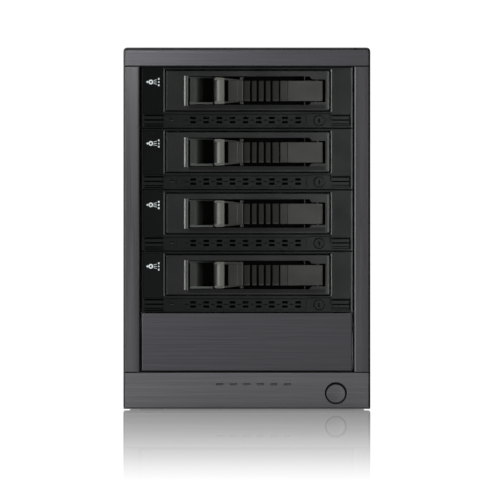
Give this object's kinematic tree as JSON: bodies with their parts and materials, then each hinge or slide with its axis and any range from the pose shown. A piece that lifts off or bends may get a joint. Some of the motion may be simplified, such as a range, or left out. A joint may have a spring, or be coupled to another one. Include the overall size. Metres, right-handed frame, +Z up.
{
  "type": "network attached storage enclosure",
  "caption": "Compact tower storage enclosure with brushed alloy bezel strips, lever-handled hot-swap drive trays, a covered spare bay, power button, slide-off cover and rear fan.",
  "frame": {"origin": "centre of the bounding box's bottom face: on the surface the feet stand on, midway between the sides and between the bezel face and the thumbscrew heads", "axes": "+Z up, -Y out of the front bezel, +X to the right seen from the front"},
  "size_m": [0.1704, 0.38, 0.2499],
  "materials": {
    "black_paint": "fine textured powder coat",
    "zinc_steel": "zinc plated sheet",
    "bezel_plastic": "satin moulded ABS",
    "brushed_alloy": "dark anodised, brushed",
    "board_green": "solder mask",
    "light_pipe": "clear smoked",
    "rubber": "matte",
    "bright_screw": "nickel plated",
    "smoked_window": "smoked, glossy",
    "heatsink_alloy": "extruded",
    "black_plastic": "moulded",
    "guard_wire": "plated wire",
    "cable": "PVC jacket",
    "tray_steel": "black",
    "drive_alloy": "cast and machined",
    "lever_plastic": "satin moulded ABS",
    "lock_metal": "black zinc"
  },
  "bodies": {
    "chassis": {"chassis_pan": "black_paint", "front_frame": "zinc_steel", "rear_panel": "black_paint", "drive_cage": "zinc_steel", "bezel_core": "bezel_plastic", "bezel_top_bar": "brushed_alloy", "bezel_bottom_bar": "brushed_alloy", "bezel_left_pillar": "brushed_alloy", "bezel_right_pillar": "brushed_alloy", "power_switch": "board_green", "indicator_pipes": "light_pipe", "rubber_feet": "rubber", "status_windows": "smoked_window", "bay_shells": "zinc_steel", "backplane_boards": "board_green", "pan_head_screws": "bright_screw", "board_tray": "zinc_steel", "motherboard": "board_green", "cpu_heatsink": "heatsink_alloy", "memory_modules": "board_green", "io_shield": "zinc_steel", "slot_cover": "zinc_steel", "psu_case": "zinc_steel", "fan_frame": "black_plastic", "fan_guard": "guard_wire", "cable_loom": "cable", "bay_bezel_1": "bezel_plastic", "bay_bezel_2": "bezel_plastic", "bay_bezel_3": "bezel_plastic", "bay_bezel_4": "bezel_plastic"},
    "cover": {"top_cover": "black_paint", "cover_thumbscrews": "bright_screw"},
    "power_button": {"power_button": "brushed_alloy"},
    "bay_cover": {"bay_cover": "brushed_alloy"},
    "rear_fan": {"fan_rotor": "black_plastic"},
    "psu_fan": {"psu_rotor": "black_plastic"},
    "tray_1": {"tray_front_1": "bezel_plastic", "tray_carrier_1": "tray_steel", "hard_drive_1": "drive_alloy"},
    "lever_1": {"lever_1": "lever_plastic"},
    "latch_1": {"latch_1": "lever_plastic"},
    "key_lock_1": {"key_lock_1": "lock_metal"},
    "tray_2": {"tray_front_2": "bezel_plastic", "tray_carrier_2": "tray_steel", "hard_drive_2": "drive_alloy"},
    "lever_2": {"lever_2": "lever_plastic"},
    "latch_2": {"latch_2": "lever_plastic"},
    "key_lock_2": {"key_lock_2": "lock_metal"},
    "tray_3": {"tray_front_3": "bezel_plastic", "tray_carrier_3": "tray_steel", "hard_drive_3": "drive_alloy"},
    "lever_3": {"lever_3": "lever_plastic"},
    "latch_3": {"latch_3": "lever_plastic"},
    "key_lock_3": {"key_lock_3": "lock_metal"},
    "tray_4": {"tray_front_4": "bezel_plastic", "tray_carrier_4": "tray_steel", "hard_drive_4": "drive_alloy"},
    "lever_4": {"lever_4": "lever_plastic"},
    "latch_4": {"latch_4": "lever_plastic"},
    "key_lock_4": {"key_lock_4": "lock_metal"}
  },
  "joints": [
    {"name": "cover_slide", "type": "slide", "parent": "chassis", "child": "cover", "axis": [0, 1, 0], "range_m": [0, 0.37]},
    {"name": "power_press", "type": "slide", "parent": "chassis", "child": "power_button", "axis": [0, 1, 0], "range_m": [0, 0.0015], "stiffness_N_per_m": 400},
    {"name": "bay_cover_slide", "type": "slide", "parent": "chassis", "child": "bay_cover", "axis": [0, -1, 0], "range_m": [0, 0.05]},
    {"name": "rear_fan_spin", "type": "hinge", "parent": "chassis", "child": "rear_fan", "pos_m": [-0.028, 0.1716, 0.16], "axis": [0, 1, 0], "continuous": true},
    {"name": "psu_fan_spin", "type": "hinge", "parent": "chassis", "child": "psu_fan", "pos_m": [-0.0558, 0.1785, 0.0292], "axis": [0, 1, 0], "continuous": true},
    {"name": "tray_1_slide", "type": "slide", "parent": "chassis", "child": "tray_1", "axis": [0, -1, 0], "range_m": [0, 0.175]},
    {"name": "lever_1_swing", "type": "hinge", "parent": "tray_1", "child": "lever_1", "pos_m": [0.0485, -0.184, 0.21995], "axis": [0, 0, 1], "range_deg": [0, 55]},
    {"name": "latch_1_slide", "type": "slide", "parent": "lever_1", "child": "latch_1", "axis": [-1, 0, 0], "range_m": [0, 0.0023]},
    {"name": "key_lock_1_turn", "type": "hinge", "parent": "chassis", "child": "key_lock_1", "pos_m": [0.0498, -0.184, 0.1995], "axis": [0, 1, 0], "range_deg": [0, 90]},
    {"name": "tray_2_slide", "type": "slide", "parent": "chassis", "child": "tray_2", "axis": [0, -1, 0], "range_m": [0, 0.175]},
    {"name": "lever_2_swing", "type": "hinge", "parent": "tray_2", "child": "lever_2", "pos_m": [0.0485, -0.184, 0.17755], "axis": [0, 0, 1], "range_deg": [0, 55]},
    {"name": "latch_2_slide", "type": "slide", "parent": "lever_2", "child": "latch_2", "axis": [-1, 0, 0], "range_m": [0, 0.0023]},
    {"name": "key_lock_2_turn", "type": "hinge", "parent": "chassis", "child": "key_lock_2", "pos_m": [0.0498, -0.184, 0.1571], "axis": [0, 1, 0], "range_deg": [0, 90]},
    {"name": "tray_3_slide", "type": "slide", "parent": "chassis", "child": "tray_3", "axis": [0, -1, 0], "range_m": [0, 0.175]},
    {"name": "lever_3_swing", "type": "hinge", "parent": "tray_3", "child": "lever_3", "pos_m": [0.0485, -0.184, 0.13515], "axis": [0, 0, 1], "range_deg": [0, 55]},
    {"name": "latch_3_slide", "type": "slide", "parent": "lever_3", "child": "latch_3", "axis": [-1, 0, 0], "range_m": [0, 0.0023]},
    {"name": "key_lock_3_turn", "type": "hinge", "parent": "chassis", "child": "key_lock_3", "pos_m": [0.0498, -0.184, 0.1147], "axis": [0, 1, 0], "range_deg": [0, 90]},
    {"name": "tray_4_slide", "type": "slide", "parent": "chassis", "child": "tray_4", "axis": [0, -1, 0], "range_m": [0, 0.175]},
    {"name": "lever_4_swing", "type": "hinge", "parent": "tray_4", "child": "lever_4", "pos_m": [0.0485, -0.184, 0.09275], "axis": [0, 0, 1], "range_deg": [0, 55]},
    {"name": "latch_4_slide", "type": "slide", "parent": "lever_4", "child": "latch_4", "axis": [-1, 0, 0], "range_m": [0, 0.0023]},
    {"name": "key_lock_4_turn", "type": "hinge", "parent": "chassis", "child": "key_lock_4", "pos_m": [0.0498, -0.184, 0.0723], "axis": [0, 1, 0], "range_deg": [0, 90]}
  ]
}
